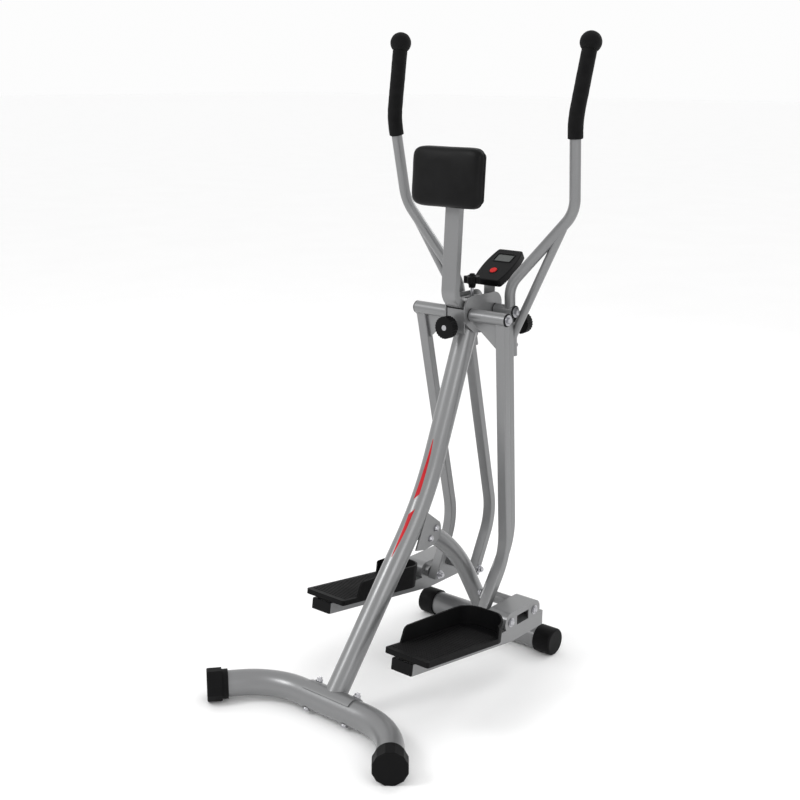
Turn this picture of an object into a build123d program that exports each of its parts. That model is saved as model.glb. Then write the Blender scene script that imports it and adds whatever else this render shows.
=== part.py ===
from build123d import *
import os
from math import atan2, cos, degrees, radians, sin, tan

# Air-walker elliptical trainer: two free-swinging leg assemblies hang from a head on a leaning post.
# Millimetres. +X is the user's right, +Y the way the user faces, +Z up, origin on the floor under
# the middle of the machine.

os.makedirs("parts", exist_ok=True)

LEFT, RIGHT = -1, 1
SIDE_NAMES = {LEFT: "left", RIGHT: "right"}

# --- Driving dimensions -------------------------------------------------------------------------
# Pieces are laid out from a working origin, then moved so the origin is under the middle.
CENTRING_Y = -24.5

# Base tubes
BASE_TUBE_RADIUS = 30.0
BASE_TUBE_WALL = 2.0
CURVED_BASE_Y = -243.0
CURVED_BASE_Z = 37.5
CURVED_END = (274.0, -364.0)
CURVED_SWEEP_DEG = 50.0
CURVED_BEND_RADIUS = 175.0
CURVED_CAP_APOTHEM = 37.5
CURVED_CAP_LENGTH = 34.0
CURVED_CAP_RING_LENGTH = 14.0
CURVED_CAP_RING_RADIUS = 34.0
STRAIGHT_BASE_Y = 345.0
STRAIGHT_BASE_Z = 33.2
STRAIGHT_HALF_LENGTH = 205.0
STRAIGHT_CAP_RADIUS = 33.7
STRAIGHT_CAP_LENGTH = 46.0
CAP_END_WALL = 4.0
PRESS_GAP = 0.05
WASHER_THICKNESS = 1.6

# Post, saddle and brace
POST_RADIUS = 25.4
POST_WALL = 2.0
POST_LOWER_LEAN_DEG = 39.2
POST_UPPER_LEAN_DEG = 21.9
POST_CORNER_Z = 431.0
POST_BEND_RADIUS = 700.0
POST_TOP_Z = 836.0
SADDLE_THICKNESS = 3.5
SADDLE_HALF_LENGTH = 68.0
SADDLE_WRAP_DEG = 79.0
SADDLE_BOLT_X = 57.0
BRACE_RADIUS = 21.0
BRACE_START = (70.7, 357.0)
BRACE_CORNER = (198.0, 281.5)
BRACE_BEND_RADIUS = 425.0
EAR_THICKNESS = 4.0
EAR_BOLTS = [(93.0, 360.0), (73.0, 340.0)]

# Head
PIVOT_Z = 849.5
FRONT_PIVOT_Y = 209.0
PIVOT_SPACING = 95.0
REAR_PIVOT_Y = FRONT_PIVOT_Y + PIVOT_SPACING
HEAD_PLATE_THICKNESS = 3.5
HEAD_MARGIN = 25.0
HEAD_TOP_Z = 892.0
WEB_TOP_Z = 863.5
WEB_THICKNESS = 3.5
WEB_FRONT_Y = 187.0
WEB_REAR_Y = 324.0
AXLE_RADIUS = 8.0
AXLE_RUNNING_GAP = 0.06

# Swing arms
REST_TILT_DEG = {LEFT: 13.0, RIGHT: 3.6}
LEG_WIDTH = 26.0
LEG_DEPTH = 20.0
LEG_WALL = 1.5
FRONT_LEG_X = 116.0
REAR_LEG_X = 62.0
KNEE_DROP = 578.0
LOWER_PIVOT = (-95.0, -694.0)
KNEE_RADIUS = 150.0
LEG_OVERHANG = 16.0
HUB_RADIUS = 15.0
HUB_BORE = 13.0
HUB_INNER_X = 31.4
FRONT_HUB_OUTER_X = 129.5
REAR_HUB_OUTER_X = 84.0
GUSSET_DROP = 74.0
GUSSET_THICKNESS = 4.0
BUSH_LENGTH = 20.0
BUSH_FLANGE = 2.0
LOWER_BOLT_RADIUS = 5.0

# Handles, in the rear arm's own frame: (outward, forward, up) from the rear pivot
HANDLE_RADIUS = 12.7
HANDLE_WALL = 1.5
HANDLE_X = 71.0
HANDLE_TOP_X = 227.0
HANDLE_FORWARD = 31.0
HANDLE_LOW_BEND = 62.0
HANDLE_HIGH_BEND = 238.0
GRIP_START = 399.0
GRIP_BEND = 440.0
BALL_CENTRE = (91.0, 600.0)
BALL_RADIUS = 24.5
GRIP_RADIUS = 17.2
HANDLE_BRACE_RADIUS = 10.0
HANDLE_BRACE_X = 64.0
HANDLE_BRACE_BEND = -66.0
HANDLE_BRACE_END = -112.0
HANDLE_BRACE_BOLT = -88.0

# Pedals, in the pedal's own frame: (forward, up) from the front lower pivot
PEDAL_X = 172.0
PEDAL_WIDTH = 56.0
PEDAL_HEIGHT = 26.0
PEDAL_PITCH_DEG = 8.4
PEDAL_HEEL = (-362.0, 17.6)
JOINT_TOP = -14.0
JOINT_BOTTOM = -50.0
JOINT_END = 132.0
BEAM_WALL = 2.0
TRAY_SHIFT_X = 9.5
TRAY_WIDTH = 119.0
TRAY_LENGTH = 296.0
TRAY_HEEL_OVERHANG = 4.0
TRAY_FOOT = 5.0
TRAY_SLAB = 12.0
TRAY_WALL = 4.5
TRAY_WALL_HEIGHT = 36.0
TRAY_TOE_HEIGHT = 44.0
TRAY_HEEL_CORNER = 6.0
TRAY_TOE_CORNER = 42.0
TRAY_WALL_START = 52.0
TRAY_OUTER_START = 250.0
SLEEVE_RADIUS = 14.0
SLEEVE_OUTER_X = 200.0
FRONT_SLEEVE_INNER_X = 131.0
REAR_SLEEVE_INNER_X = 77.0
COVER_RADIUS = 23.5
COVER_THICKNESS = 3.0
COVER_WINDOW = (24.0, 71.0)
COVER_LIP_Z = 9.0

# Pad and its bar
BAR_WIDTH = 40.0
BAR_DEPTH = 20.0
BAR_WALL = 1.5
BAR_Y = 164.3
BAR_LEAN = 0.062
BAR_TOP_Z = 1200.0
BAR_REAR_Y = 292.0
BAR_BEND_RADIUS = 35.0
BAR_LIFT = 0.3
BAR_SLOT = (222.0, 280.0)
PAD_CENTRE_Z = 1163.5
PAD_WIDTH = 202.0
PAD_HEIGHT = 140.0
PAD_THICKNESS = 38.0
PAD_CORNER = 22.0
PAD_EDGE = 14.0
BOARD_THICKNESS = 4.0
BOARD_INSET = 14.0

# Knobs
KNOB_RADIUS = 25.7
KNOB_THICKNESS = 20.0
KNOB_FLUTES = 24
STUD_RADIUS = 4.0
STUD_GAP = 0.2
TENSION_KNOB_FRONT_Y = 144.0
TENSION_KNOB_Z = 825.0
TENSION_STUD_END_Y = 200.0
ARM_KNOB_X = 55.0
ARM_KNOB_UP = -44.0
ARM_KNOB_START = 60.0
ARM_BOSS_END = 50.0
ARM_BOSS_RADIUS = 7.5
CLAMP_Y = 249.0
CLAMP_LOBE_RADIUS = 20.0
CLAMP_BODY = (916.0, 932.0)
CLAMP_STEM_Z = 905.0
CLAMP_CAP_Z = 938.0
CLAMP_STUD_END_Z = 842.0

# Computer
COMPUTER_CENTRE = (353.0, 947.5)
COMPUTER_TILT_DEG = 30.2
COMPUTER_LENGTH = 117.0
COMPUTER_WIDTH = 79.0
COMPUTER_THICKNESS = 21.0
SCREEN_OFFSET = 26.0
SCREEN_WINDOW = (46.0, 26.0)
BUTTON_OFFSET = -23.5
BUTTON_RADIUS = 9.0
STALK_Y = 317.0


# --- Helpers ------------------------------------------------------------------------------------
def save(piece, name):
    """Centre a finished piece on the machine's origin, label it and write it."""
    piece.part.move(Location((0, CENTRING_Y, 0)))
    piece.part.label = name
    export_step(piece.part, f"parts/{name}.step")


def side_plane(x, y=0.0, z=0.0, tilt_deg=0.0):
    """A plane facing +X whose sketch axes are forward and up, tilted with a swinging arm."""
    tilt = radians(tilt_deg)
    return Plane(origin=(x, y, z), x_dir=(0, cos(tilt), sin(tilt)), z_dir=(1, 0, 0))


def arm_point(side, pivot_y, outward, forward, up):
    """World position of a point given in a swinging arm's own frame."""
    tilt = radians(REST_TILT_DEG[side])
    y = pivot_y + forward * cos(tilt) - up * sin(tilt)
    z = PIVOT_Z + forward * sin(tilt) + up * cos(tilt)
    return Vector(side * outward, y, z)


def round_bar(radius, start, end, mode=Mode.ADD):
    """A round bar between two points, added to or cut from the part being built."""
    direction = Vector(*end) - Vector(*start)
    with Locations(Plane(origin=start, z_dir=direction)):
        Cylinder(radius, direction.length, align=(Align.CENTER, Align.CENTER, Align.MIN), mode=mode)


def x_cylinder(radius, x_from, x_to, y, z, mode=Mode.ADD):
    """A round bar along X."""
    round_bar(radius, (min(x_from, x_to), y, z), (max(x_from, x_to), y, z), mode)


def bolt_between(start, end, shank, head, nut_flats, washer):
    """A through bolt: low domed head before start, a washer on each face, nut and thread end after end."""
    direction = end - start
    grip = direction.length
    head_height = 0.6 * head
    nut_height = 0.42 * nut_flats
    from_low = (Align.CENTER, Align.CENTER, Align.MIN)
    with BuildPart() as bolt:
        with Locations(Plane(origin=start, z_dir=direction)):
            with Locations((0, 0, -WASHER_THICKNESS - head_height)):
                Cone(0.55 * head, head, 0.6 * head_height, align=from_low)
            with Locations((0, 0, -WASHER_THICKNESS - 0.4 * head_height)):
                Cylinder(head, 0.4 * head_height, align=from_low)
            with Locations((0, 0, -WASHER_THICKNESS), (0, 0, grip)):
                Cylinder(washer, WASHER_THICKNESS, align=from_low)
            Cylinder(shank, grip + WASHER_THICKNESS + nut_height + 4, align=from_low)
        with BuildSketch(Plane(origin=end, z_dir=direction).offset(WASHER_THICKNESS)):
            RegularPolygon(radius=nut_flats / 2, side_count=6, major_radius=False)
        extrude(amount=nut_height)
    return bolt.part


def swept_tube(path, radius, wall):
    """A round tube along a path of straight runs and arcs; a wall of zero makes a solid bar."""
    with BuildPart() as tube:
        with BuildSketch(Plane(origin=path @ 0, z_dir=path % 0)):
            Circle(radius)
            if wall:
                Circle(radius - wall, mode=Mode.SUBTRACT)
        sweep(path=path)
    return tube.part


# --- Base ---------------------------------------------------------------------------------------
curved_sweep = radians(CURVED_SWEEP_DEG)
curved_out = Vector(cos(curved_sweep), -sin(curved_sweep), 0)
curved_corner_x = CURVED_END[0] - (CURVED_BASE_Y - CURVED_END[1]) / tan(curved_sweep)
curved_tube_end = Vector(*CURVED_END, CURVED_BASE_Z) - curved_out * (CAP_END_WALL + 0.5)
post_lower_lean = radians(POST_LOWER_LEAN_DEG)
post_upper_lean = radians(POST_UPPER_LEAN_DEG)
post_axis = Vector(0, sin(post_lower_lean), cos(post_lower_lean))
base_centre = Vector(0, CURVED_BASE_Y, CURVED_BASE_Z)
saddle_outer = BASE_TUBE_RADIUS + PRESS_GAP + SADDLE_THICKNESS


def saddle_bolt_line(x):
    """The two ends of the grip of a bolt through the base tube and its saddle."""
    centre = base_centre + Vector(x, 0, 0)
    return centre - post_axis * (BASE_TUBE_RADIUS + PRESS_GAP), centre + post_axis * (saddle_outer + PRESS_GAP)


def saddle_bolt_holes():
    for x in (-SADDLE_BOLT_X, SADDLE_BOLT_X):
        low, high = saddle_bolt_line(x)
        round_bar(4.6, low - post_axis * 12, high + post_axis * 12, Mode.SUBTRACT)


with BuildLine() as curved_path:
    FilletPolyline((-curved_tube_end.X, curved_tube_end.Y, CURVED_BASE_Z),
                   (-curved_corner_x, CURVED_BASE_Y, CURVED_BASE_Z),
                   (curved_corner_x, CURVED_BASE_Y, CURVED_BASE_Z),
                   (curved_tube_end.X, curved_tube_end.Y, CURVED_BASE_Z),
                   radius=CURVED_BEND_RADIUS)

with BuildPart() as curved_base:
    add(swept_tube(curved_path.line, BASE_TUBE_RADIUS, BASE_TUBE_WALL))
    saddle_bolt_holes()
save(curved_base, "curved_base")

with BuildPart() as curved_base_caps:
    for side in (LEFT, RIGHT):
        outward = Vector(side * curved_out.X, curved_out.Y, 0)
        face_centre = Vector(side * CURVED_END[0], CURVED_END[1], CURVED_BASE_Z)
        face_plane = Plane(origin=face_centre, x_dir=outward.cross(Vector(0, 0, 1)) * -1, z_dir=outward)
        with BuildSketch(face_plane):
            RegularPolygon(radius=CURVED_CAP_APOTHEM, side_count=12, major_radius=False, rotation=15)
        extrude(amount=-CURVED_CAP_LENGTH)
        chamfer(curved_base_caps.faces().sort_by(Axis((0, 0, 0), outward))[-1].edges(), length=2.0)
        with BuildSketch(face_plane.offset(-CURVED_CAP_LENGTH)):
            Circle(CURVED_CAP_RING_RADIUS)
        extrude(amount=-CURVED_CAP_RING_LENGTH)
        with BuildSketch(face_plane.offset(-CAP_END_WALL)):
            Circle(BASE_TUBE_RADIUS + PRESS_GAP)
        extrude(amount=-(CURVED_CAP_LENGTH + CURVED_CAP_RING_LENGTH), mode=Mode.SUBTRACT)
save(curved_base_caps, "curved_base_caps")

with BuildPart() as straight_base:
    tube_half = STRAIGHT_HALF_LENGTH - CAP_END_WALL - 0.5
    x_cylinder(BASE_TUBE_RADIUS, -tube_half, tube_half, STRAIGHT_BASE_Y, STRAIGHT_BASE_Z)
    x_cylinder(BASE_TUBE_RADIUS - BASE_TUBE_WALL, -tube_half, tube_half, STRAIGHT_BASE_Y,
               STRAIGHT_BASE_Z, mode=Mode.SUBTRACT)
save(straight_base, "straight_base")

with BuildPart() as straight_base_caps:
    for side in (LEFT, RIGHT):
        inner_x = side * (STRAIGHT_HALF_LENGTH - STRAIGHT_CAP_LENGTH)
        outer_x = side * STRAIGHT_HALF_LENGTH
        x_cylinder(STRAIGHT_CAP_RADIUS, inner_x, outer_x, STRAIGHT_BASE_Y, STRAIGHT_BASE_Z)
    cap_rims = straight_base_caps.edges().filter_by(GeomType.CIRCLE).sort_by(Axis.X)
    fillet([cap_rims[0], cap_rims[-1]], radius=6.0)
    x_cylinder(BASE_TUBE_RADIUS + PRESS_GAP, CAP_END_WALL - STRAIGHT_HALF_LENGTH,
               STRAIGHT_HALF_LENGTH - CAP_END_WALL, STRAIGHT_BASE_Y, STRAIGHT_BASE_Z, mode=Mode.SUBTRACT)
    with Locations((0, STRAIGHT_BASE_Y, 0)):
        Box(500, 100, 20, align=(Align.CENTER, Align.CENTER, Align.MAX), mode=Mode.SUBTRACT)
save(straight_base_caps, "straight_base_caps")

with BuildPart() as post_saddle:
    post_angle = degrees(atan2(post_axis.Z, post_axis.Y))
    with BuildSketch(side_plane(0, CURVED_BASE_Y, CURVED_BASE_Z)):
        with BuildLine():
            outer_arc = CenterArc((0, 0), saddle_outer, post_angle - SADDLE_WRAP_DEG, 2 * SADDLE_WRAP_DEG)
            inner_arc = CenterArc((0, 0), BASE_TUBE_RADIUS + PRESS_GAP, post_angle - SADDLE_WRAP_DEG,
                                  2 * SADDLE_WRAP_DEG)
            Line(outer_arc @ 0, inner_arc @ 0)
            Line(outer_arc @ 1, inner_arc @ 1)
        make_face()
    extrude(amount=SADDLE_HALF_LENGTH, both=True)
    saddle_bolt_holes()
save(post_saddle, "post_saddle")

with BuildPart() as saddle_bolts:
    for bolt_x in (-SADDLE_BOLT_X, SADDLE_BOLT_X):
        grip_low, grip_high = saddle_bolt_line(bolt_x)
        add(bolt_between(grip_low, grip_high, 4.0, 8.0, 13.0, 9.0))
save(saddle_bolts, "saddle_bolts")

# --- Post, ears and brace -----------------------------------------------------------------------
post_corner_y = CURVED_BASE_Y + (POST_CORNER_Z - CURVED_BASE_Z) * tan(post_lower_lean)
post_end_z = POST_TOP_Z + 20
post_end_y = post_corner_y + (post_end_z - POST_CORNER_Z) * tan(post_upper_lean)

with BuildLine(Plane.YZ) as post_path:
    FilletPolyline((CURVED_BASE_Y, CURVED_BASE_Z), (post_corner_y, POST_CORNER_Z),
                   (post_end_y, post_end_z), radius=POST_BEND_RADIUS)

with BuildPart() as main_post:
    add(swept_tube(post_path.line, POST_RADIUS, POST_WALL))
    x_cylinder(saddle_outer, -60, 60, CURVED_BASE_Y, CURVED_BASE_Z, mode=Mode.SUBTRACT)
    with Locations((0, post_end_y, POST_TOP_Z)):
        Box(120, 160, 60, align=(Align.CENTER, Align.CENTER, Align.MIN), mode=Mode.SUBTRACT)
save(main_post, "main_post")

with BuildPart() as brace_ears:
    for side in (LEFT, RIGHT):
        with BuildSketch(side_plane(side * (BRACE_RADIUS + 0.3))):
            with BuildLine():
                ear_top = Polyline((20, 325), (60, 408), (68, 402), (107, 372))
                ear_nose = RadiusArc((107, 372), (84, 322), 34)
                Polyline((84, 322), (52, 318), (20, 325))
            make_face()
            with Locations(EAR_BOLTS[0], EAR_BOLTS[1]):
                Circle(4.3, mode=Mode.SUBTRACT)
        extrude(amount=side * EAR_THICKNESS)
    add(swept_tube(post_path.line, POST_RADIUS, 0), mode=Mode.SUBTRACT)
save(brace_ears, "brace_ears")

with BuildLine(Plane.YZ) as brace_path:
    FilletPolyline(BRACE_START, BRACE_CORNER, (STRAIGHT_BASE_Y, STRAIGHT_BASE_Z),
                   radius=BRACE_BEND_RADIUS)

with BuildPart() as brace_tube:
    add(swept_tube(brace_path.line, BRACE_RADIUS, POST_WALL))
    x_cylinder(BASE_TUBE_RADIUS, -40, 40, STRAIGHT_BASE_Y, STRAIGHT_BASE_Z, mode=Mode.SUBTRACT)
    for ear_y, ear_z in EAR_BOLTS:
        x_cylinder(4.3, -40, 40, ear_y, ear_z, mode=Mode.SUBTRACT)
save(brace_tube, "brace_tube")

with BuildPart() as brace_bolts:
    ear_outer = BRACE_RADIUS + 0.3 + EAR_THICKNESS
    for ear_y, ear_z in EAR_BOLTS:
        add(bolt_between(Vector(ear_outer, ear_y, ear_z), Vector(-ear_outer, ear_y, ear_z),
                         4.0, 7.5, 13.0, 8.5))
save(brace_bolts, "brace_bolts")

# --- Head ---------------------------------------------------------------------------------------
head_front = FRONT_PIVOT_Y - HEAD_MARGIN
head_rear = REAR_PIVOT_Y + HEAD_MARGIN
head_outer_x = POST_RADIUS + HEAD_PLATE_THICKNESS

with BuildPart() as head_plates:
    for side in (LEFT, RIGHT):
        with BuildSketch(side_plane(side * POST_RADIUS)):
            with BuildLine():
                FilletPolyline((head_front, 834), (head_front, HEAD_TOP_Z), (head_rear, HEAD_TOP_Z),
                               (head_rear, 830), (282, 798), (222, 806), close=True,
                               radius=(12, 26, 30, 8, 10, 10))
            make_face()
            with Locations((FRONT_PIVOT_Y, PIVOT_Z), (REAR_PIVOT_Y, PIVOT_Z)):
                Circle(AXLE_RADIUS, mode=Mode.SUBTRACT)
        extrude(amount=side * HEAD_PLATE_THICKNESS)
save(head_plates, "head_plates")

with BuildPart() as head_web:
    with Locations((0, (WEB_FRONT_Y + WEB_REAR_Y) / 2, WEB_TOP_Z)):
        Box(2 * POST_RADIUS, WEB_REAR_Y - WEB_FRONT_Y, WEB_THICKNESS,
            align=(Align.CENTER, Align.CENTER, Align.MAX))
    with Locations((0, WEB_FRONT_Y, WEB_TOP_Z)):
        Box(2 * POST_RADIUS, WEB_THICKNESS, WEB_TOP_Z - 808, align=(Align.CENTER, Align.MIN, Align.MAX))
    with BuildSketch(Plane.XY.offset(WEB_TOP_Z)):
        with Locations((0, CLAMP_Y)):
            Circle(STUD_RADIUS + STUD_GAP)
    extrude(amount=-WEB_THICKNESS, mode=Mode.SUBTRACT)
    with BuildSketch(Plane(origin=(0, WEB_FRONT_Y, TENSION_KNOB_Z), z_dir=(0, 1, 0))):
        Circle(STUD_RADIUS + STUD_GAP)
    extrude(amount=WEB_THICKNESS, mode=Mode.SUBTRACT)
save(head_web, "head_web")

axle_ends = [(FRONT_PIVOT_Y, FRONT_HUB_OUTER_X + BUSH_FLANGE + 0.5),
             (REAR_PIVOT_Y, REAR_HUB_OUTER_X + BUSH_FLANGE + 0.5)]
with BuildPart() as pivot_axles:
    for pivot_y, axle_end_x in axle_ends:
        x_cylinder(AXLE_RADIUS, -axle_end_x, axle_end_x, pivot_y, PIVOT_Z)
        x_cylinder(3.4, axle_end_x - 18, axle_end_x, pivot_y, PIVOT_Z, mode=Mode.SUBTRACT)
        x_cylinder(3.4, -axle_end_x, -axle_end_x + 18, pivot_y, PIVOT_Z, mode=Mode.SUBTRACT)
save(pivot_axles, "pivot_axles")

with BuildPart() as axle_bolts:
    for pivot_y, axle_end_x in axle_ends:
        for side in (LEFT, RIGHT):
            x_cylinder(12.5, side * axle_end_x, side * (axle_end_x + 1.8), pivot_y, PIVOT_Z)
            x_cylinder(3.3, side * (axle_end_x - 16), side * axle_end_x, pivot_y, PIVOT_Z)
            with BuildSketch(Plane(origin=(side * (axle_end_x + 1.8), pivot_y, PIVOT_Z), z_dir=(side, 0, 0))):
                RegularPolygon(radius=6.5, side_count=6, major_radius=False)
            extrude(amount=5.5)
save(axle_bolts, "axle_bolts")

# --- Pad, its bar and the clamp -----------------------------------------------------------------
bar_low_z = WEB_TOP_Z + BAR_LIFT + BAR_DEPTH / 2
bar_top_y = BAR_Y + BAR_LEAN * (BAR_TOP_Z - bar_low_z)
bar_lean_deg = degrees(atan2(BAR_LEAN, 1.0))

with BuildPart() as pad_bar:
    with BuildLine(Plane.YZ) as bar_path:
        FilletPolyline((BAR_REAR_Y, bar_low_z), (BAR_Y, bar_low_z), (bar_top_y, BAR_TOP_Z),
                       radius=BAR_BEND_RADIUS)
    with BuildSketch(Plane(origin=bar_path.line @ 0, x_dir=(1, 0, 0), z_dir=(0, -1, 0))):
        RectangleRounded(BAR_WIDTH, BAR_DEPTH, 3.0)
        RectangleRounded(BAR_WIDTH - 2 * BAR_WALL, BAR_DEPTH - 2 * BAR_WALL, 1.6, mode=Mode.SUBTRACT)
    sweep(path=bar_path.line)
    with BuildSketch(Plane.XY.offset(WEB_TOP_Z - 5)):
        with Locations((0, (BAR_SLOT[0] + BAR_SLOT[1]) / 2)):
            SlotOverall(BAR_SLOT[1] - BAR_SLOT[0], 2 * STUD_RADIUS + 2, rotation=90)
    extrude(amount=40, mode=Mode.SUBTRACT)
save(pad_bar, "pad_bar")

pad_lean = radians(bar_lean_deg)
pad_normal = Vector(0, -cos(pad_lean), sin(pad_lean))
pad_mount_y = BAR_Y + BAR_LEAN * (PAD_CENTRE_Z - bar_low_z) - BAR_DEPTH / 2 / cos(pad_lean)
pad_plane = Plane(origin=(0, pad_mount_y, PAD_CENTRE_Z), x_dir=(1, 0, 0), z_dir=pad_normal)

with BuildPart() as pad_board:
    with BuildSketch(pad_plane):
        RectangleRounded(PAD_WIDTH - 2 * BOARD_INSET, PAD_HEIGHT - 2 * BOARD_INSET, PAD_CORNER - 12)
    extrude(amount=BOARD_THICKNESS)
save(pad_board, "pad_board")

with BuildPart() as pad_cushion:
    with BuildSketch(pad_plane.offset(BOARD_THICKNESS)):
        RectangleRounded(PAD_WIDTH, PAD_HEIGHT, PAD_CORNER)
    extrude(amount=PAD_THICKNESS)
    pad_rims = pad_cushion.faces().sort_by(Axis((0, 0, 0), pad_normal))
    fillet(pad_rims[-1].edges(), radius=PAD_EDGE)
    fillet(pad_cushion.faces().sort_by(Axis((0, 0, 0), pad_normal))[0].edges(), radius=6.0)
save(pad_cushion, "pad_cushion")

with BuildPart() as clamp_knob:
    with BuildSketch(Plane.XY.offset(CLAMP_BODY[0])):
        with Locations((0, CLAMP_Y)):
            Circle(CLAMP_LOBE_RADIUS - 5)
            with PolarLocations(CLAMP_LOBE_RADIUS - 7, 5):
                Circle(7)
    extrude(amount=CLAMP_BODY[1] - CLAMP_BODY[0])
    with Locations((0, CLAMP_Y, CLAMP_STEM_Z)):
        Cone(7.5, 9.5, CLAMP_BODY[0] - CLAMP_STEM_Z, align=(Align.CENTER, Align.CENTER, Align.MIN))
    with Locations((0, CLAMP_Y, CLAMP_BODY[1])):
        Cone(9.0, 5.5, CLAMP_CAP_Z - CLAMP_BODY[1], align=(Align.CENTER, Align.CENTER, Align.MIN))
    with BuildSketch(Plane.XY.offset(CLAMP_STEM_Z)):
        with Locations((0, CLAMP_Y)):
            Circle(STUD_RADIUS)
    extrude(amount=20, mode=Mode.SUBTRACT)
save(clamp_knob, "clamp_knob")

with BuildPart() as clamp_stud:
    with Locations((0, CLAMP_Y, CLAMP_STUD_END_Z)):
        Cylinder(STUD_RADIUS, CLAMP_STEM_Z + 20 - CLAMP_STUD_END_Z, align=(Align.CENTER, Align.CENTER, Align.MIN))
save(clamp_stud, "clamp_stud")

with BuildPart() as clamp_nut:
    with BuildSketch(Plane.XY.offset(WEB_TOP_Z - WEB_THICKNESS)):
        with Locations((0, CLAMP_Y)):
            RegularPolygon(radius=6.5, side_count=6, major_radius=False)
            Circle(STUD_RADIUS + STUD_GAP, mode=Mode.SUBTRACT)
    extrude(amount=-7)
save(clamp_nut, "clamp_nut")


# --- Fluted round knobs -------------------------------------------------------------------------
def fluted_knob(face):
    """A ribbed disc knob grown from its outer face, bored and recessed for its stud."""
    with BuildPart() as knob:
        with BuildSketch(face):
            Circle(KNOB_RADIUS)
            with PolarLocations(KNOB_RADIUS + 0.9, KNOB_FLUTES):
                Circle(2.2, mode=Mode.SUBTRACT)
        extrude(amount=KNOB_THICKNESS)
        with BuildSketch(face.offset(KNOB_THICKNESS)):
            Circle(9.5)
        extrude(amount=6)
        with BuildSketch(face):
            Circle(6.5)
        extrude(amount=3, mode=Mode.SUBTRACT)
        with BuildSketch(face.offset(3)):
            Circle(STUD_RADIUS)
        extrude(amount=KNOB_THICKNESS + 10, mode=Mode.SUBTRACT)
    return knob.part


def knob_stud(face, length):
    """The threaded stud of a disc knob, with the bright head sunk in the knob's face."""
    with BuildPart() as stud:
        with BuildSketch(face):
            Circle(6.4)
        extrude(amount=3)
        with BuildSketch(face.offset(3)):
            Circle(STUD_RADIUS)
        extrude(amount=length - 3)
    return stud.part


tension_face = Plane(origin=(0, TENSION_KNOB_FRONT_Y, TENSION_KNOB_Z), x_dir=(1, 0, 0), z_dir=(0, 1, 0))
with BuildPart() as tension_knob:
    add(fluted_knob(tension_face))
save(tension_knob, "tension_knob")

with BuildPart() as tension_stud:
    add(knob_stud(tension_face, TENSION_STUD_END_Y - TENSION_KNOB_FRONT_Y))
save(tension_stud, "tension_stud")

# --- Computer -----------------------------------------------------------------------------------
computer_tilt = radians(COMPUTER_TILT_DEG)
computer_up = Vector(0, cos(computer_tilt), sin(computer_tilt))
computer_normal = Vector(0, -sin(computer_tilt), cos(computer_tilt))
computer_face = Plane(origin=(0, *COMPUTER_CENTRE), x_dir=(1, 0, 0), z_dir=computer_normal)
half_length = COMPUTER_LENGTH / 2
half_width = COMPUTER_WIDTH / 2

with BuildPart() as computer_housing:
    with BuildSketch(computer_face) as housing_outline:
        with BuildLine():
            near = Line((-half_width + 4, -half_length), (half_width - 4, -half_length))
            right = ThreePointArc(near @ 1, (half_width + 3, -12), (half_width - 5, half_length))
            far = Line(right @ 1, (-half_width + 5, half_length))
            ThreePointArc(far @ 1, (-half_width - 3, -12), near @ 0)
        make_face()
        fillet(housing_outline.vertices(), radius=7)
    extrude(amount=-COMPUTER_THICKNESS)
    fillet(computer_housing.faces().sort_by(Axis((0, 0, 0), computer_normal))[-1].edges(), radius=2.5)
    fillet(computer_housing.faces().sort_by(Axis((0, 0, 0), computer_normal))[0].edges(), radius=4.0)
    with BuildSketch(computer_face):
        with Locations((0, SCREEN_OFFSET)):
            RectangleRounded(SCREEN_WINDOW[0], SCREEN_WINDOW[1], 3)
    extrude(amount=-3, mode=Mode.SUBTRACT)
    with BuildSketch(computer_face):
        with Locations((0, BUTTON_OFFSET)):
            Circle(BUTTON_RADIUS + 0.35)
    extrude(amount=-6, mode=Mode.SUBTRACT)
save(computer_housing, "computer_housing")

with BuildPart() as computer_screen:
    with BuildSketch(computer_face.offset(-3)):
        with Locations((0, SCREEN_OFFSET)):
            RectangleRounded(SCREEN_WINDOW[0] - 0.1, SCREEN_WINDOW[1] - 0.1, 2.95)
    extrude(amount=2)
save(computer_screen, "computer_screen")

with BuildPart() as computer_button:
    with BuildSketch(computer_face.offset(-4.6)):
        with Locations((0, BUTTON_OFFSET)):
            Circle(BUTTON_RADIUS)
    extrude(amount=6.6)
    fillet(computer_button.faces().sort_by(Axis((0, 0, 0), computer_normal))[-1].edges(), radius=1.4)
save(computer_button, "computer_button")

computer_back = computer_face.offset(-COMPUTER_THICKNESS)
stalk_top = computer_back.from_local_coords((0, -38, 0))
with BuildPart() as computer_stalk:
    with BuildSketch(side_plane(0)):
        with BuildLine():
            rise_top = stalk_top.Z - (stalk_top.Y - STALK_Y) * tan(computer_tilt)
            tip = computer_back.from_local_coords((0, 6, 0))
            low_tip = tip - computer_normal * 3
            low_z = low_tip.Z - (low_tip.Y - STALK_Y - 3) * tan(computer_tilt)
            Polyline((STALK_Y, WEB_TOP_Z), (STALK_Y, rise_top - 0.3), (tip.Y, tip.Z - 0.3),
                     (low_tip.Y, low_tip.Z - 0.3), (STALK_Y + 3, low_z - 0.3), (STALK_Y + 3, WEB_TOP_Z),
                     close=True)
        make_face()
    extrude(amount=15, both=True)
save(computer_stalk, "computer_stalk")


# --- Swing arms ---------------------------------------------------------------------------------
def arm_plane(side, pivot_y, x):
    return side_plane(x, pivot_y, PIVOT_Z, REST_TILT_DEG[side])


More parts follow.
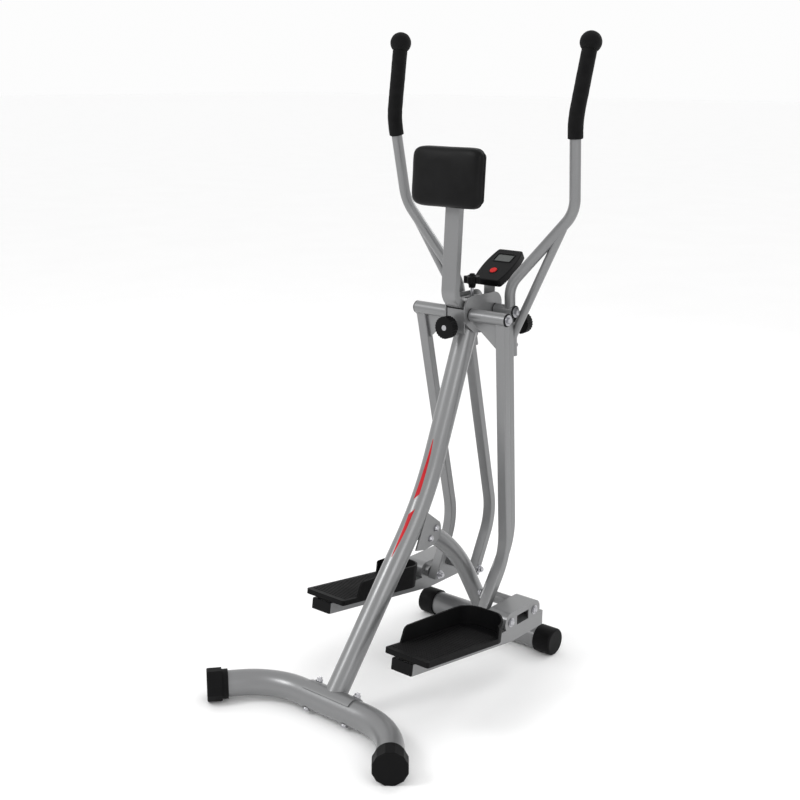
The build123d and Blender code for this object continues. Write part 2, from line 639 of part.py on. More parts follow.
def arm_hub(side, pivot_y, leg_x, outer_x):
    """Pivot sleeve with the triangular gusset that stiffens the leg under it."""
    tilt = radians(REST_TILT_DEG[side])
    gusset_plane = Plane(origin=(0, pivot_y, PIVOT_Z), x_dir=(1, 0, 0), z_dir=(0, -cos(tilt), -sin(tilt)))
    inner_face = leg_x - LEG_WIDTH / 2
    with BuildPart() as hub:
        x_cylinder(HUB_RADIUS, side * HUB_INNER_X, side * outer_x, pivot_y, PIVOT_Z)
        with BuildSketch(gusset_plane):
            with BuildLine():
                Polyline((side * (HUB_INNER_X + 3), -5), (side * (HUB_INNER_X + 3), -HUB_RADIUS - 2),
                         (side * inner_face, -GUSSET_DROP), (side * inner_face, -5), close=True)
            make_face()
        extrude(amount=GUSSET_THICKNESS / 2, both=True)
        x_cylinder(HUB_BORE, side * HUB_INNER_X, side * outer_x, pivot_y, PIVOT_Z, mode=Mode.SUBTRACT)
    return hub


def arm_leg(side, pivot_y, leg_x, hole_radius):
    """Bent rectangular tube from under the hub to just past the lower pivot."""
    run = Vector(LOWER_PIVOT[0], LOWER_PIVOT[1] + KNEE_DROP)
    leg_end = Vector(*LOWER_PIVOT) + run.normalized() * LEG_OVERHANG
    lower = arm_point(side, pivot_y, leg_x, *LOWER_PIVOT)
    inner_face = side * (leg_x - LEG_WIDTH / 2 + 0.1)
    outer_face = side * (leg_x + LEG_WIDTH / 2 - 0.1)
    cut_from = side * (leg_x - LEG_WIDTH)
    cut_to = side * (leg_x + LEG_WIDTH)
    with BuildPart() as leg:
        with BuildLine(arm_plane(side, pivot_y, side * leg_x)) as leg_path:
            FilletPolyline((0, -HUB_RADIUS + 6), (0, -KNEE_DROP), (leg_end.X, leg_end.Y), radius=KNEE_RADIUS)
        with BuildSketch(Plane(origin=leg_path.line @ 0, x_dir=(1, 0, 0), z_dir=leg_path.line % 0)):
            RectangleRounded(LEG_WIDTH, LEG_DEPTH, 3.0)
            RectangleRounded(LEG_WIDTH - 2 * LEG_WALL, LEG_DEPTH - 2 * LEG_WALL, 1.6, mode=Mode.SUBTRACT)
        sweep(path=leg_path.line)
        with BuildSketch(Plane(origin=leg_path.line @ 1, x_dir=(1, 0, 0), z_dir=leg_path.line % 1)):
            RectangleRounded(LEG_WIDTH, LEG_DEPTH, 3.0)
        extrude(amount=-LEG_WALL)
        x_cylinder(9.0, inner_face, outer_face, lower.Y, lower.Z)
        x_cylinder(hole_radius, cut_from, cut_to, lower.Y, lower.Z, mode=Mode.SUBTRACT)
        x_cylinder(HUB_RADIUS + PRESS_GAP, cut_from, cut_to, pivot_y, PIVOT_Z, mode=Mode.SUBTRACT)
    return leg


def arm_bushes(side, pivot_y, outer_x):
    """Flanged plastic bushes pressed into both ends of a hub."""
    with BuildPart() as bushes:
        for end_x, inward in ((HUB_INNER_X, 1), (outer_x, -1)):
            flange_x = side * (end_x - inward * BUSH_FLANGE)
            tail_x = side * (end_x + inward * BUSH_LENGTH)
            x_cylinder(HUB_RADIUS, flange_x, side * end_x, pivot_y, PIVOT_Z)
            x_cylinder(HUB_BORE - PRESS_GAP, side * end_x, tail_x, pivot_y, PIVOT_Z)
        x_cylinder(AXLE_RADIUS + AXLE_RUNNING_GAP, 0, side * (outer_x + 10), pivot_y, PIVOT_Z,
                   mode=Mode.SUBTRACT)
    return bushes


for side in (LEFT, RIGHT):
    name = SIDE_NAMES[side]
    save(arm_hub(side, FRONT_PIVOT_Y, FRONT_LEG_X, FRONT_HUB_OUTER_X), f"front_hub_{name}")
    save(arm_hub(side, REAR_PIVOT_Y, REAR_LEG_X, REAR_HUB_OUTER_X), f"rear_hub_{name}")
    save(arm_leg(side, FRONT_PIVOT_Y, FRONT_LEG_X, LOWER_BOLT_RADIUS + AXLE_RUNNING_GAP), f"front_leg_{name}")
    save(arm_bushes(side, FRONT_PIVOT_Y, FRONT_HUB_OUTER_X), f"front_bushes_{name}")
    save(arm_bushes(side, REAR_PIVOT_Y, REAR_HUB_OUTER_X), f"rear_bushes_{name}")

    leg_back = LEG_DEPTH / 2
    with BuildPart() as rear_leg:
        add(arm_leg(side, REAR_PIVOT_Y, REAR_LEG_X, LOWER_BOLT_RADIUS + 0.8).part)
        round_bar(ARM_BOSS_RADIUS, arm_point(side, REAR_PIVOT_Y, ARM_KNOB_X, leg_back - 1, ARM_KNOB_UP),
                  arm_point(side, REAR_PIVOT_Y, ARM_KNOB_X, ARM_BOSS_END, ARM_KNOB_UP))
        round_bar(STUD_RADIUS + STUD_GAP, arm_point(side, REAR_PIVOT_Y, ARM_KNOB_X, -LEG_DEPTH, ARM_KNOB_UP),
                  arm_point(side, REAR_PIVOT_Y, ARM_KNOB_X, ARM_BOSS_END + 5, ARM_KNOB_UP), Mode.SUBTRACT)
        round_bar(3.2, arm_point(side, REAR_PIVOT_Y, HANDLE_BRACE_X, -LEG_DEPTH, HANDLE_BRACE_BOLT),
                  arm_point(side, REAR_PIVOT_Y, HANDLE_BRACE_X, LEG_DEPTH, HANDLE_BRACE_BOLT), Mode.SUBTRACT)
    save(rear_leg, f"rear_leg_{name}")

    knob_point = arm_point(side, REAR_PIVOT_Y, ARM_KNOB_X, ARM_KNOB_START + KNOB_THICKNESS, ARM_KNOB_UP)
    knob_face = Plane(origin=knob_point, x_dir=(1, 0, 0), z_dir=arm_plane(side, REAR_PIVOT_Y, 0).x_dir * -1)
    with BuildPart() as arm_knob:
        add(fluted_knob(knob_face))
        add(knob_stud(knob_face, ARM_KNOB_START + KNOB_THICKNESS + 4))
    save(arm_knob, f"arm_knob_{name}")

# --- Handles ------------------------------------------------------------------------------------
grip_lean = Vector(0, BALL_CENTRE[0] - HANDLE_FORWARD, BALL_CENTRE[1] - GRIP_BEND).normalized()

for side in (LEFT, RIGHT):
    name = SIDE_NAMES[side]

    def handle_point(outward, forward, up):
        return arm_point(side, REAR_PIVOT_Y, outward, forward, up)

    ball_centre = handle_point(HANDLE_TOP_X, *BALL_CENTRE)
    grip_corner = handle_point(HANDLE_TOP_X, HANDLE_FORWARD, GRIP_BEND)
    lean_axis = (ball_centre - grip_corner).normalized()
    grip_end = ball_centre - lean_axis * 16

    with BuildLine() as handle_path:
        FilletPolyline(handle_point(HANDLE_X, 0, 4), handle_point(HANDLE_X, 0, HANDLE_LOW_BEND),
                       handle_point(HANDLE_TOP_X, HANDLE_FORWARD, HANDLE_HIGH_BEND), grip_corner,
                       ball_centre + lean_axis * 8, radius=(70, 80, 150))
    with BuildPart() as handle_tube:
        add(swept_tube(handle_path.line, HANDLE_RADIUS, HANDLE_WALL))
        x_cylinder(HUB_RADIUS + PRESS_GAP, side * (HANDLE_X - 40), side * (HANDLE_X + 40), REAR_PIVOT_Y,
                   PIVOT_Z, mode=Mode.SUBTRACT)
    save(handle_tube, f"handle_tube_{name}")

    with BuildLine() as grip_path:
        FilletPolyline(handle_point(HANDLE_TOP_X, HANDLE_FORWARD, GRIP_START), grip_corner, grip_end,
                       radius=150)
    with BuildPart() as grip:
        add(swept_tube(grip_path.line, GRIP_RADIUS, GRIP_RADIUS - HANDLE_RADIUS - PRESS_GAP))
    save(grip, f"grip_{name}")

    with BuildPart() as ball:
        with Locations(ball_centre):
            Sphere(BALL_RADIUS)
        round_bar(GRIP_RADIUS + 0.1, ball_centre - lean_axis * 40, ball_centre - lean_axis * 15.5,
                  Mode.SUBTRACT)
        round_bar(HANDLE_RADIUS + 0.1, ball_centre - lean_axis * 40, ball_centre + lean_axis * 8.5,
                  Mode.SUBTRACT)
    save(ball, f"handle_ball_{name}")

    brace_forward = LEG_DEPTH / 2 + HANDLE_BRACE_RADIUS + 0.2
    brace_fraction = 0.86
    brace_top = handle_point(HANDLE_X + brace_fraction * (HANDLE_TOP_X - HANDLE_X),
                             brace_fraction * HANDLE_FORWARD,
                             HANDLE_LOW_BEND + brace_fraction * (HANDLE_HIGH_BEND - HANDLE_LOW_BEND))
    with BuildLine() as handle_brace_path:
        FilletPolyline(handle_point(HANDLE_BRACE_X, brace_forward, HANDLE_BRACE_END),
                       handle_point(HANDLE_BRACE_X, brace_forward, HANDLE_BRACE_BEND), brace_top,
                       radius=30)
    with BuildPart() as handle_brace:
        add(swept_tube(handle_brace_path.line, HANDLE_BRACE_RADIUS, 1.5))
        add(swept_tube(handle_path.line, HANDLE_RADIUS + PRESS_GAP, 0), mode=Mode.SUBTRACT)
        round_bar(3.2, handle_point(HANDLE_BRACE_X, 0, HANDLE_BRACE_BOLT),
                  handle_point(HANDLE_BRACE_X, 60, HANDLE_BRACE_BOLT), Mode.SUBTRACT)
    save(handle_brace, f"handle_brace_{name}")

    brace_back = brace_forward + HANDLE_BRACE_RADIUS + PRESS_GAP
    with BuildPart() as handle_bolt:
        add(bolt_between(handle_point(HANDLE_BRACE_X, brace_back, HANDLE_BRACE_BOLT),
                         handle_point(HANDLE_BRACE_X, -LEG_DEPTH / 2, HANDLE_BRACE_BOLT), 3.0, 6.0, 10.0, 6.5))
    save(handle_bolt, f"handle_bolt_{name}")

# --- Pedals -------------------------------------------------------------------------------------
pitch = radians(PEDAL_PITCH_DEG)
along = Vector(cos(pitch), -sin(pitch))
upward = Vector(sin(pitch), cos(pitch))
heel = Vector(*PEDAL_HEEL)
heel_top = heel + upward * (PEDAL_HEIGHT / 2)
heel_bottom = heel - upward * (PEDAL_HEIGHT / 2)


def beam_outline(inset):
    """Side outline of a pedal beam, shrunk by inset on its top and bottom."""
    top = heel_top - upward * inset
    bottom = heel_bottom + upward * inset
    top_z = JOINT_TOP - inset
    bottom_z = JOINT_BOTTOM + inset
    top_kink = top.X + (top.Y - top_z) / tan(pitch)
    bottom_kink = bottom.X + (bottom.Y - bottom_z) / tan(pitch)
    return [(top.X, top.Y), (top_kink, top_z), (JOINT_END - inset, top_z), (JOINT_END - inset, bottom_z),
            (bottom_kink, bottom_z), (bottom.X, bottom.Y)]


for side in (LEFT, RIGHT):
    name = SIDE_NAMES[side]
    pivot = arm_point(side, FRONT_PIVOT_Y, 0, *LOWER_PIVOT)
    centre_x = side * PEDAL_X
    middle = side_plane(centre_x, pivot.Y, pivot.Z)
    heel_world = middle.from_local_coords((heel.X, heel.Y, 0))
    heel_direction = Vector(0, along.X, along.Y)
    heel_face = Plane(origin=heel_world, x_dir=(1, 0, 0), z_dir=heel_direction * -1)

    with BuildPart() as pedal_beam:
        with BuildSketch(middle):
            with BuildLine():
                Polyline(*beam_outline(0), close=True)
            make_face()
        extrude(amount=PEDAL_WIDTH / 2, both=True)
        with BuildSketch(middle):
            with BuildLine():
                Polyline(*beam_outline(BEAM_WALL), close=True)
            make_face()
        extrude(amount=PEDAL_WIDTH / 2 - BEAM_WALL, both=True, mode=Mode.SUBTRACT)
    save(pedal_beam, f"pedal_beam_{name}")

    with BuildPart() as beam_cap:
        with BuildSketch(heel_face):
            RectangleRounded(PEDAL_WIDTH, PEDAL_HEIGHT, 1.5)
        extrude(amount=3)
        with BuildSketch(heel_face):
            RectangleRounded(PEDAL_WIDTH - 2 * BEAM_WALL - 0.4, PEDAL_HEIGHT - 2 * BEAM_WALL - 0.4, 1.0)
        extrude(amount=-14)
    save(beam_cap, f"pedal_cap_{name}")

    heel_top_world = middle.from_local_coords((heel_top.X, heel_top.Y, 0))
    tray_plane = Plane(origin=heel_top_world, x_dir=(1, 0, 0), z_dir=(0, upward.X, upward.Y))
    tray_side = Plane(origin=heel_top_world, x_dir=heel_direction, z_dir=(1, 0, 0))
    tray_front = Plane(origin=heel_top_world, x_dir=(1, 0, 0), z_dir=heel_direction * -1)
    slab_top = TRAY_FOOT + TRAY_SLAB
    inner_edge = TRAY_SHIFT_X - side * TRAY_WIDTH / 2
    outer_edge = TRAY_SHIFT_X + side * TRAY_WIDTH / 2
    toe = TRAY_LENGTH - TRAY_HEEL_OVERHANG

    def tray_outline(inset):
        """Plan outline of the tray, shrunk by inset all round."""
        inner = inner_edge + side * inset
        outer = outer_edge - side * inset
        low = -TRAY_HEEL_OVERHANG + inset
        high = toe - inset
        FilletPolyline((inner, low), (outer, low), (outer, high), (inner, high), close=True,
                       radius=(TRAY_HEEL_CORNER - inset, TRAY_HEEL_CORNER - inset,
                               TRAY_TOE_CORNER - inset, TRAY_TOE_CORNER - inset))

    with BuildPart() as pedal_tray:
        with BuildSketch(tray_plane.offset(slab_top)):
            with BuildLine():
                tray_outline(0)
            make_face()
            with BuildLine():
                tray_outline(TRAY_WALL)
            make_face(mode=Mode.SUBTRACT)
        extrude(amount=TRAY_TOE_HEIGHT + 4)
        with BuildSketch(tray_side):
            with BuildLine():
                crest = slab_top + TRAY_WALL_HEIGHT
                Polyline((TRAY_WALL_START - 6, slab_top - 1), (TRAY_WALL_START + 1, crest - 14))
                RadiusArc((TRAY_WALL_START + 1, crest - 14), (TRAY_WALL_START + 16, crest), 16)
                Polyline((TRAY_WALL_START + 16, crest), (toe - 60, slab_top + TRAY_TOE_HEIGHT),
                         (toe + 5, slab_top + TRAY_TOE_HEIGHT), (toe + 5, slab_top - 1),
                         (TRAY_WALL_START - 6, slab_top - 1))
            make_face()
        extrude(amount=TRAY_WIDTH, both=True, mode=Mode.INTERSECT)
        with BuildSketch(tray_plane):
            with Locations((outer_edge, 0)):
                Rectangle(60, 2 * TRAY_OUTER_START)
        extrude(amount=120, mode=Mode.SUBTRACT)
        with BuildSketch(tray_front):
            with BuildLine():
                shoulder = TRAY_SHIFT_X + side * 18
                rim_end = outer_edge + side * 1.0
                rise = slab_top + TRAY_TOE_HEIGHT
                Polyline((shoulder, rise), (shoulder, rise + 10), (rim_end, rise + 10), (rim_end, rise - 20))
                RadiusArc((rim_end, rise - 20), (shoulder, rise), side * -48)
            make_face()
        extrude(amount=-TRAY_LENGTH, mode=Mode.SUBTRACT)
        with BuildSketch(tray_plane.offset(TRAY_FOOT)):
            with BuildLine():
                tray_outline(0)
            make_face()
        extrude(amount=TRAY_SLAB)
        with BuildSketch(tray_plane):
            with Locations((0, TRAY_LENGTH / 2 - TRAY_HEEL_OVERHANG)):
                Rectangle(PEDAL_WIDTH - 4, TRAY_LENGTH - 30)
        extrude(amount=TRAY_FOOT)
    save(pedal_tray, f"pedal_tray_{name}")

    rear_y = pivot.Y + PIVOT_SPACING
    bolt_middle = PIVOT_SPACING / 2
    window_middle = sum(COVER_WINDOW) / 2
    window_length = COVER_WINDOW[1] - COVER_WINDOW[0]
    with BuildPart() as pedal_bracket:
        with BuildSketch(middle):
            with Locations((bolt_middle, 0)):
                SlotCenterToCenter(PIVOT_SPACING, 2 * COVER_RADIUS)
                SlotCenterToCenter(PIVOT_SPACING, 2 * (COVER_RADIUS - COVER_THICKNESS), mode=Mode.SUBTRACT)
            with Locations((bolt_middle, JOINT_TOP)):
                Rectangle(300, 100, align=(Align.CENTER, Align.MAX), mode=Mode.SUBTRACT)
        extrude(amount=PEDAL_WIDTH / 2, both=True)
        for flange in (-1, 1):
            with BuildSketch(middle.offset(flange * (PEDAL_WIDTH / 2 - COVER_THICKNESS))):
                with Locations((bolt_middle, 0)):
                    SlotCenterToCenter(PIVOT_SPACING, 2 * COVER_RADIUS)
                with Locations((bolt_middle, JOINT_TOP)):
                    Rectangle(300, 100, align=(Align.CENTER, Align.MAX), mode=Mode.SUBTRACT)
                with Locations((window_middle, JOINT_TOP)):
                    Rectangle(window_length, COVER_LIP_Z - JOINT_TOP, align=(Align.CENTER, Align.MIN),
                              mode=Mode.SUBTRACT)
            extrude(amount=flange * COVER_THICKNESS)
        x_cylinder(SLEEVE_RADIUS, side * FRONT_SLEEVE_INNER_X, side * SLEEVE_OUTER_X, pivot.Y, pivot.Z)
        x_cylinder(SLEEVE_RADIUS, side * REAR_SLEEVE_INNER_X, side * SLEEVE_OUTER_X, rear_y, pivot.Z)
        for sleeve_y in (pivot.Y, rear_y):
            x_cylinder(LOWER_BOLT_RADIUS + PRESS_GAP, 0, side * (SLEEVE_OUTER_X + 10), sleeve_y, pivot.Z,
                       mode=Mode.SUBTRACT)
    save(pedal_bracket, f"pedal_bracket_{name}")

    with BuildPart() as pedal_bolts:
        add(bolt_between(Vector(side * (SLEEVE_OUTER_X + 0.2), pivot.Y, pivot.Z),
                         Vector(side * (FRONT_LEG_X - LEG_WIDTH / 2 - 0.6), pivot.Y, pivot.Z),
                         LOWER_BOLT_RADIUS, 8.0, 15.0, 11.0))
        add(bolt_between(Vector(side * (SLEEVE_OUTER_X + 0.2), rear_y, pivot.Z),
                         Vector(side * (REAR_LEG_X - LEG_WIDTH / 2 - 0.6), rear_y, pivot.Z),
                         LOWER_BOLT_RADIUS, 8.0, 15.0, 11.0))
    save(pedal_bolts, f"pedal_bolts_{name}")
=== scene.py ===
import bpy
import bmesh
from math import cos, pi, radians, sin
from mathutils import Matrix, Vector, noise


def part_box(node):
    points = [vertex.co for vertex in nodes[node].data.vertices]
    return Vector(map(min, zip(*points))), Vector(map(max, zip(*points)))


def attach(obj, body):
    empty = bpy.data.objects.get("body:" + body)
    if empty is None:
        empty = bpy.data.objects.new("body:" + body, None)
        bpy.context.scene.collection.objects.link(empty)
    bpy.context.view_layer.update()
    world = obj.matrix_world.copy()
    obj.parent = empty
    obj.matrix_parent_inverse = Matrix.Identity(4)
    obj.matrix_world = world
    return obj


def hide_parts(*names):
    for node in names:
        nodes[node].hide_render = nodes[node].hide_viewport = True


# Air walker: looks only. Every position is in metres in the frame's own axes.

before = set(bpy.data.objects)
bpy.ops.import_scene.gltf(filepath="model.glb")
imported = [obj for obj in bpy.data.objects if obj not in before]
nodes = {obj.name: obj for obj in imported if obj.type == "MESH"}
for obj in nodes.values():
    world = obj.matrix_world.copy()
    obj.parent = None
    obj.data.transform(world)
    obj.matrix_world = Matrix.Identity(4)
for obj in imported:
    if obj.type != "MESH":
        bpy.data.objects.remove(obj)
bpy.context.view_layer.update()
collection = bpy.context.scene.collection
SIDES = {"left": -1, "right": 1}
Y_SHIFT = -0.0245  # centres the part's box on the origin
PLASTIC_SPECULAR = 0.09
FOAM_SPECULAR = 0.08
VINYL_SPECULAR = 0.11


# --- Materials ----------------------------------------------------------------------------------
def shader(name, colour, roughness, metallic=0.0, coat=0.0):
    """A new material with its Principled node and object coordinates in metres."""
    material = bpy.data.materials.new(name)
    material.use_nodes = True
    tree = material.node_tree
    principled = tree.nodes["Principled BSDF"]
    principled.inputs["Base Color"].default_value = (*colour, 1.0)
    principled.inputs["Roughness"].default_value = roughness
    principled.inputs["Metallic"].default_value = metallic
    principled.inputs["Coat Weight"].default_value = coat
    principled.inputs["Coat Roughness"].default_value = 0.15
    coords = tree.nodes.new("ShaderNodeTexCoord")
    return material, tree, principled, coords.outputs["Object"]


def noise_node(tree, vector, scale, detail=4.0, rough=0.55):
    node = tree.nodes.new("ShaderNodeTexNoise")
    node.inputs["Scale"].default_value = scale
    node.inputs["Detail"].default_value = detail
    node.inputs["Roughness"].default_value = rough
    tree.links.new(vector, node.inputs["Vector"])
    return node.outputs["Fac"]


def ramp(tree, value, low, high, start=0.3, end=0.7):
    """Maps a 0..1 value to a range of numbers."""
    node = tree.nodes.new("ShaderNodeMapRange")
    node.inputs["From Min"].default_value = start
    node.inputs["From Max"].default_value = end
    node.inputs["To Min"].default_value = low
    node.inputs["To Max"].default_value = high
    tree.links.new(value, node.inputs["Value"])
    return node.outputs["Result"]


def tint(tree, principled, value, dark, light, start=0.3, end=0.7):
    """Colours the base between two near shades."""
    mix = tree.nodes.new("ShaderNodeMix")
    mix.data_type = "RGBA"
    mix.inputs["A"].default_value = (*dark, 1.0)
    mix.inputs["B"].default_value = (*light, 1.0)
    tree.links.new(ramp(tree, value, 0.0, 1.0, start, end), mix.inputs["Factor"])
    tree.links.new(mix.outputs["Result"], principled.inputs["Base Color"])


def bump(tree, principled, height, distance, strength=1.0):
    node = tree.nodes.new("ShaderNodeBump")
    node.inputs["Strength"].default_value = strength
    node.inputs["Distance"].default_value = distance
    tree.links.new(height, node.inputs["Height"])
    existing = principled.inputs["Normal"].links
    if existing:
        tree.links.new(existing[0].from_socket, node.inputs["Normal"])
    tree.links.new(node.outputs["Normal"], principled.inputs["Normal"])


def paint(name, base, roughness, metallic):
    """Metallic paint: fine flake, slight orange peel, faint handling marks."""
    material, tree, principled, obj = shader(name, base, roughness, metallic, coat=0.35)
    flake = noise_node(tree, obj, 2600.0, 2.0)
    peel = noise_node(tree, obj, 420.0, 2.0)
    cloud = noise_node(tree, obj, 9.0, 5.0)
    dark = tuple(0.86 * c for c in base)
    light = tuple(1.12 * c for c in base)
    tint(tree, principled, flake, dark, light)
    uneven = ramp(tree, cloud, roughness - 0.05, roughness + 0.09)
    tree.links.new(uneven, principled.inputs["Roughness"])
    bump(tree, principled, peel, 0.00012, 0.35)
    return material


def plastic(name, base, roughness, grain=1500.0, depth=0.00012):
    """Moulded plastic with a fine etched grain and uneven sheen."""
    material, tree, principled, obj = shader(name, base, roughness)
    principled.inputs["Specular IOR Level"].default_value = PLASTIC_SPECULAR
    grit = noise_node(tree, obj, grain, 3.0)
    cloud = noise_node(tree, obj, 14.0, 5.0)
    dark = tuple(0.8 * c for c in base)
    light = tuple(1.25 * c for c in base)
    tint(tree, principled, cloud, dark, light)
    uneven = ramp(tree, cloud, roughness - 0.06, roughness + 0.08)
    tree.links.new(uneven, principled.inputs["Roughness"])
    bump(tree, principled, grit, depth, 0.6)
    return material


def bright_metal(name, base, roughness, scratch=900.0):
    """Plated or ground steel with fine scratches and slight staining."""
    material, tree, principled, obj = shader(name, base, roughness, 1.0)
    scale = tree.nodes.new("ShaderNodeMapping")
    scale.inputs["Scale"].default_value = (6.0, 1.0, 1.0)
    tree.links.new(obj, scale.inputs["Vector"])
    lines = noise_node(tree, scale.outputs["Vector"], scratch, 3.0)
    cloud = noise_node(tree, obj, 60.0, 4.0)
    tint(tree, principled, cloud, tuple(0.85 * c for c in base), base)
    uneven = ramp(tree, lines, roughness - 0.06, roughness + 0.1)
    tree.links.new(uneven, principled.inputs["Roughness"])
    bump(tree, principled, lines, 0.00006, 0.4)
    return material


def foam_material(name):
    """Closed-cell foam rubber: matte black skin with open pores and a soft sheen."""
    material, tree, principled, obj = shader(name, (0.004, 0.004, 0.0043), 0.78)
    principled.inputs["Specular IOR Level"].default_value = FOAM_SPECULAR
    pores = tree.nodes.new("ShaderNodeTexVoronoi")
    pores.inputs["Scale"].default_value = 1100.0
    tree.links.new(obj, pores.inputs["Vector"])
    cloud = noise_node(tree, obj, 55.0, 5.0)
    tint(tree, principled, cloud, (0.0028, 0.0028, 0.003), (0.006, 0.006, 0.0062))
    principled.inputs["Sheen Weight"].default_value = 0.03
    principled.inputs["Sheen Roughness"].default_value = 0.6
    bump(tree, principled, pores.outputs["Distance"], 0.0003, 0.7)
    bump(tree, principled, cloud, 0.0006, 0.5)
    return material


def vinyl_material(name):
    """Soft upholstery vinyl with a pebbled leather grain."""
    material, tree, principled, obj = shader(name, (0.004, 0.004, 0.0043), 0.42)
    principled.inputs["Specular IOR Level"].default_value = VINYL_SPECULAR
    grain = tree.nodes.new("ShaderNodeTexVoronoi")
    grain.feature = "SMOOTH_F1"
    grain.inputs["Scale"].default_value = 620.0
    tree.links.new(obj, grain.inputs["Vector"])
    fine = noise_node(tree, obj, 1900.0, 3.0)
    cloud = noise_node(tree, obj, 18.0, 5.0)
    tint(tree, principled, cloud, (0.003, 0.003, 0.0032), (0.006, 0.006, 0.0063))
    tree.links.new(ramp(tree, cloud, 0.36, 0.50), principled.inputs["Roughness"])
    bump(tree, principled, grain.outputs["Distance"], 0.0004, 0.55)
    bump(tree, principled, fine, 0.00015, 0.35)
    return material


SILVER = (0.205, 0.207, 0.210)
silver = paint("Silver_paint", SILVER, 0.34, 0.55)
black_plastic = plastic("Black_plastic", (0.0035, 0.0035, 0.0038), 0.48)
tray_plastic = plastic("Tray_plastic", (0.0035, 0.0035, 0.0038), 0.52, 900.0, 0.0002)
bush_plastic = plastic("Bush_plastic", (0.010, 0.010, 0.011), 0.42)
case_plastic = plastic("Computer_plastic", (0.005, 0.005, 0.0055), 0.36, 2200.0, 0.00008)
zinc = bright_metal("Zinc_plate", (0.46, 0.46, 0.48), 0.26)
steel = bright_metal("Ground_steel", (0.40, 0.40, 0.42), 0.33)
foam = foam_material("Foam_rubber")
vinyl = vinyl_material("Pad_vinyl")
stripe_red = plastic("Red_decal", (0.42, 0.012, 0.018), 0.35, 1200.0, 0.00004)
button_red = plastic("Red_key", (0.55, 0.02, 0.02), 0.28, 1600.0, 0.00004)
screen_grey = plastic("Screen_glass", (0.045, 0.050, 0.048), 0.16, 700.0, 0.00002)
screen_grey.node_tree.nodes["Principled BSDF"].inputs["Coat Weight"].default_value = 0.8

NODE_MATERIALS = {
    "main_post": silver, "post_saddle": silver, "curved_base": silver, "brace_ears": silver,
    "brace_tube": silver, "straight_base": silver, "head_plates": silver, "head_web": silver,
    "pad_bar": silver, "computer_stalk": silver, "curved_base_caps": black_plastic,
    "straight_base_caps": black_plastic, "pad_board": black_plastic, "clamp_knob": black_plastic,
    "tension_knob": black_plastic, "saddle_bolts": zinc, "brace_bolts": zinc, "axle_bolts": zinc,
    "clamp_stud": zinc, "clamp_nut": zinc, "tension_stud": zinc, "pivot_axles": steel,
    "computer_housing": case_plastic, "computer_screen": screen_grey, "computer_button": button_red,
}
SIDE_MATERIALS = {
    "front_hub": silver, "front_leg": silver, "front_bushes": bush_plastic, "rear_hub": silver,
    "rear_leg": silver, "rear_bushes": bush_plastic, "arm_knob": black_plastic, "handle_tube": silver,
    "handle_brace": silver, "handle_bolt": zinc, "handle_ball": foam, "pedal_beam": silver,
    "pedal_cap": black_plastic, "pedal_tray": tray_plastic, "pedal_bracket": silver, "pedal_bolts": zinc,
}
for stem, material in SIDE_MATERIALS.items():
    for side in SIDES:
        NODE_MATERIALS[f"{stem}_{side}"] = material


def dress(obj, material):
    """Gives every material slot of an object one material."""
    if not obj.material_slots:
        obj.data.materials.append(material)
    for slot in obj.material_slots:
        slot.material = material


for node_name, material in NODE_MATERIALS.items():
    dress(nodes[node_name], material)


# --- Mesh helpers -------------------------------------------------------------------------------
def new_mesh(name, verts, faces, material, smooth=True):
    mesh = bpy.data.meshes.new(name)
    mesh.from_pydata([tuple(v) for v in verts], [], faces)
    mesh.validate()
    obj = bpy.data.objects.new(name, mesh)
    collection.objects.link(obj)
    work = bmesh.new()
    work.from_mesh(mesh)
    bmesh.ops.recalc_face_normals(work, faces=work.faces)
    work.to_mesh(mesh)
    work.free()
    for polygon in mesh.polygons:
        polygon.use_smooth = smooth
    mesh.materials.append(material)
    return obj


def tube_along(name, points, radius, material, sides=16, closed=False):
    """A round strand through points."""
    verts = []
    faces = []
    count = len(points)
    for i, point in enumerate(points):
        before = points[i - 1] if (i or closed) else point
        after = points[(i + 1) % count] if (i < count - 1 or closed) else point
        direction = (after - before).normalized()
        if verts:
            side_dir = (side_dir - direction * side_dir.dot(direction)).normalized()
        else:
            side_dir = direction.orthogonal().normalized()
        up_dir = direction.cross(side_dir)
        for k in range(sides):
            angle = 2 * pi * k / sides
            verts.append(point + radius * (cos(angle) * side_dir + sin(angle) * up_dir))
    for i in range(count if closed else count - 1):
        for k in range(sides):
            a = i * sides + k
            b = i * sides + (k + 1) % sides
            c = ((i + 1) % count) * sides + (k + 1) % sides
            d = ((i + 1) % count) * sides + k
            faces.append((a, b, c, d))
    return new_mesh(name, verts, faces, material)


def apply_modifiers(obj):
    """Bakes an object's modifiers into its mesh."""
    graph = bpy.context.evaluated_depsgraph_get()
    baked = bpy.data.meshes.new_from_object(obj.evaluated_get(graph))
    obj.modifiers.clear()
    obj.data = baked
    for polygon in baked.polygons:
        polygon.use_smooth = True


# --- Chest pad ----------------------------------------------------------------------------------
PAD_LEAN = 0.0619  # radians from upright
pad_low, pad_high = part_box("pad_cushion")
pad_x = Vector((1, 0, 0))
pad_up = Vector((0, sin(PAD_LEAN), cos(PAD_LEAN)))
pad_out = Vector((0, -cos(PAD_LEAN), sin(PAD_LEAN)))
pad_mid = Vector([(a + b) / 2 for a, b in zip(pad_low, pad_high)])
HALF_W, HALF_H, HALF_T = 0.1005, 0.0695, 0.0185
PAD_POWER = 6.5  # superellipse power of the outline
PAD_SEGMENTS = 96
PAD_RINGS = [(-1.0, 0.90), (-0.86, 0.965), (-0.45, 0.985), (0.0, 0.985),
             (0.45, 0.975), (0.80, 0.93), (1.0, 0.85)]  # (level through the pad, outline scale)
PAD_START_DEPTH = 0.80
PAD_VOXEL = 0.0045
PAD_SWELL_LIMIT = 0.0035
PAD_CROWN = 0.0030
